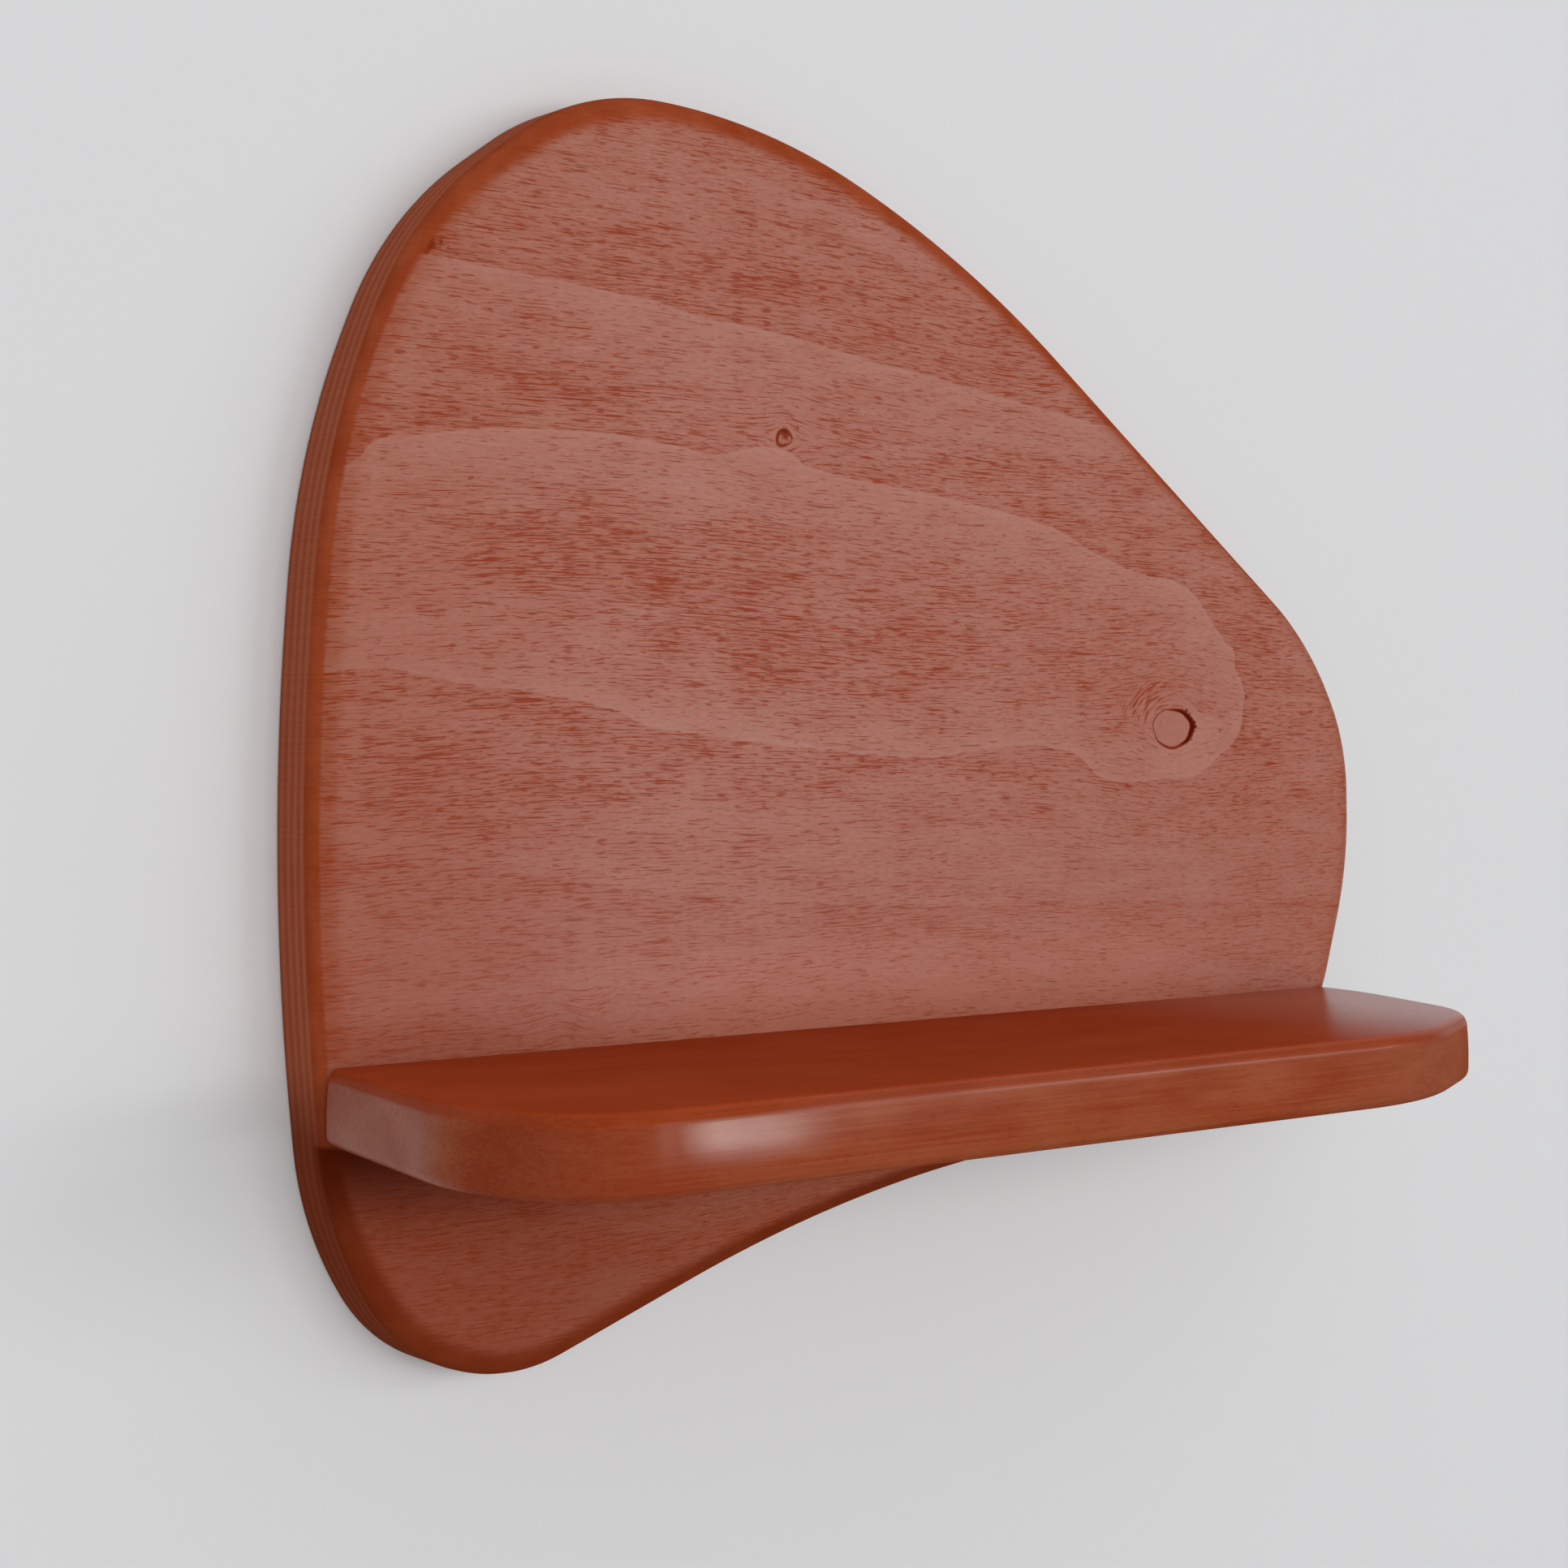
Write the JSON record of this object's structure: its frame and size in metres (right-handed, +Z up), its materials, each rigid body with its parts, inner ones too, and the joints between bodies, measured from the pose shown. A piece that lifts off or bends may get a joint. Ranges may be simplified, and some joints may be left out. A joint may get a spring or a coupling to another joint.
{
  "type": "decorative wall shelf",
  "caption": "Wall shelf with a pebble-shaped plywood back panel and a thick rounded shelf board, hung on keyhole plates let into the back.",
  "frame": {"origin": "on the wall plane, midway between the entry holes of the two keyhole plates", "axes": "+X to the right along the wall as seen from the front, +Y into the wall, +Z up"},
  "size_m": [0.3629, 0.123, 0.31],
  "materials": {
    "panel_wood": "terracotta stain under satin lacquer, plywood with bare ply lines at the edge",
    "shelf_wood": "red-brown stain under satin lacquer",
    "beech": "bare, lightly fluted",
    "zinc_plated_steel": "bright zinc plating"
  },
  "bodies": {
    "root": {"back_panel": "panel_wood", "shelf_board": "shelf_wood", "dowel_left": "beech", "dowel_right": "beech", "shelf_screw_left": "zinc_plated_steel", "shelf_screw_centre": "zinc_plated_steel", "shelf_screw_right": "zinc_plated_steel", "hanger_plate_left": "zinc_plated_steel", "hanger_plate_right": "zinc_plated_steel", "hanger_screw_left_top": "zinc_plated_steel", "hanger_screw_left_bottom": "zinc_plated_steel", "hanger_screw_right_top": "zinc_plated_steel", "hanger_screw_right_bottom": "zinc_plated_steel"}
  },
  "joints": []
}
